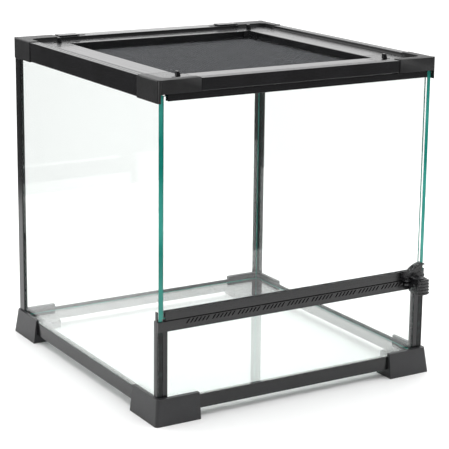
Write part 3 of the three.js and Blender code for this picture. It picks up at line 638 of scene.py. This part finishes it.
def makeSpring():
    low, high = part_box("latch_spring")
    size = high - low
    radius = spring["wireRadius"] * mm
    piece = growPiece("latch-spring", coilTree(), {
        "Turns": spring["turns"], "Coil Radius": size.z / 2 - radius, "Length": size.x - 2 * radius,
        "Wire Radius": radius, "Material": steel})
    middle = (low + high) / 2
    place = Matrix.Translation((low.x + radius, middle.y, middle.z)) @ Matrix.Rotation(math.pi / 2, 4, "Y")
    piece.data.transform(place)
    piece.data.shade_smooth()
    piece.data.set_sharp_from_angle(angle=math.radians(spring["smoothUpTo"]))
    return hand(piece, "latch_spring")


makeSpring()
print("steel done")


# "left" to "ceiling" are how bright the room's parts are, and "seen" is the backdrop looked at directly
studio = {"floorColour": "fdfdfd", "fibreMm": 33.3, "floorX": (-0.52, 0.62), "floorY": (-0.6, 0.72),
          "left": 0.06, "right": 0.25, "wall": 1.4, "ceiling": 1.2, "seen": 1.3}
softboxes = {
    "top softbox": {"place": (0.1, 0.1, 1.5), "aim": (0, 0, 0.2), "size": (1.2, 1.2), "power": 9.5},
    "right softbox": {"place": (1.3, -0.7, 0.9), "aim": (0, 0, 0.15), "size": (0.8, 1.0), "power": 5}}
bounces = {"all": 24, "through": 20, "clear": 24}


# a paper sheet nearly four times as wide as the tank; past its edge the room is dark to whatever mirrors it
def makeFloor():
    material, tree = startMaterial("pale paper floor")
    fibre = noise(tree, objectPlace(tree), studio["fibreMm"], 3.0)
    skin = addNode(tree, "ShaderNodeBsdfPrincipled", {}, {
        "Base Color": hexColour(studio["floorColour"]),
        "Roughness": spread(tree, fibre, 0.3, 0.7, 0.6, 0.75),
        "Specular IOR Level": 0.2})
    shade(tree, skin.outputs[0])
    mesh = bpy.data.meshes.new("floor")
    (left, right), (front, rear) = studio["floorX"], studio["floorY"]
    corners = [(left, front, 0), (right, front, 0), (right, rear, 0), (left, rear, 0)]
    mesh.from_pydata(corners, [], [(0, 1, 2, 3)])
    mesh.materials.append(material)
    makeObject("floor", mesh)


# White where it is looked at. What lights and mirrors in the tank is a dim room, darker to the left,
# with a bright wall behind it and a light ceiling.
def lightRoom():
    world = bpy.data.worlds.new("white room")
    scene.world = world
    world.use_nodes = True
    tree = world.node_tree
    tree.nodes.clear()
    outward = addNode(tree, "ShaderNodeTexCoord").outputs["Generated"]
    way = addNode(tree, "ShaderNodeSeparateXYZ", {}, {0: outward}).outputs
    side = spread(tree, way[0], -0.9, 0.9, studio["left"], studio["right"])
    behind = spread(tree, way[1], 0.1, 0.9, 0.0, studio["wall"])
    above = spread(tree, way[2], -0.03, 0.12, 0.0, 1.0)
    ceiling = spread(tree, way[2], 0.3, 0.9, 0.0, studio["ceiling"])
    room = maths(tree, "ADD", maths(tree, "MULTIPLY_ADD", behind, above, side), ceiling)
    path = addNode(tree, "ShaderNodeLightPath").outputs
    turns = maths(tree, "ADD", path["Glossy Depth"], path["Diffuse Depth"])
    seen = maths(tree, "LESS_THAN", turns, 0.5)  # straight from the camera, or only through glass
    strength = addNode(tree, "ShaderNodeMix", {"data_type": "FLOAT"}, {0: seen, 2: room, 3: studio["seen"]})
    sky = addNode(tree, "ShaderNodeBackground", {}, {"Color": (1, 1, 1, 1), "Strength": strength.outputs[0]})
    addNode(tree, "ShaderNodeOutputWorld", {}, {"Surface": sky.outputs[0]})


def addSoftbox(name, box):
    light = bpy.data.lights.new(name, "AREA")
    light.shape = "RECTANGLE"
    light.size, light.size_y = box["size"]
    light.energy = box["power"]
    lamp = bpy.data.objects.new(name, light)
    scene.collection.objects.link(lamp)
    lamp.location = box["place"]
    lamp.rotation_euler = (Vector(box["aim"]) - Vector(box["place"])).to_track_quat("-Z", "Y").to_euler()


def placeCamera():
    view = {"azimuth": 30.042, "height": 12.985, "roll": 0.39, "distance": 1.558449,
            "target": (-0.024686, 0.0061, 0.183396), "lens": 125.04, "shift": (0.067, -0.1)}
    around, up, roll = (math.radians(view[key]) for key in ("azimuth", "height", "roll"))
    back = Vector((-math.sin(around) * math.cos(up), -math.cos(around) * math.cos(up), math.sin(up)))
    level = Vector((0, 0, 1)).cross(back).normalized()
    over = back.cross(level)
    right = math.cos(roll) * level + math.sin(roll) * over
    top = math.cos(roll) * over - math.sin(roll) * level
    data = bpy.data.cameras.new("camera")
    data.lens = view["lens"]
    data.sensor_width = 36.0
    data.shift_x, data.shift_y = view["shift"]
    camera = bpy.data.objects.new("camera", data)
    scene.collection.objects.link(camera)
    turn = Matrix((right, top, back)).transposed().to_4x4()
    camera.matrix_world = Matrix.Translation(Vector(view["target"]) + view["distance"] * back) @ turn
    scene.camera = camera


makeFloor()
lightRoom()
for name, box in softboxes.items():
    addSoftbox(name, box)
placeCamera()
scene.view_settings.view_transform = "Standard"
scene.cycles.max_bounces = bounces["all"]
scene.cycles.transmission_bounces = bounces["through"]
scene.cycles.transparent_max_bounces = bounces["clear"]
scene.cycles.use_denoising = True
print("studio ready")
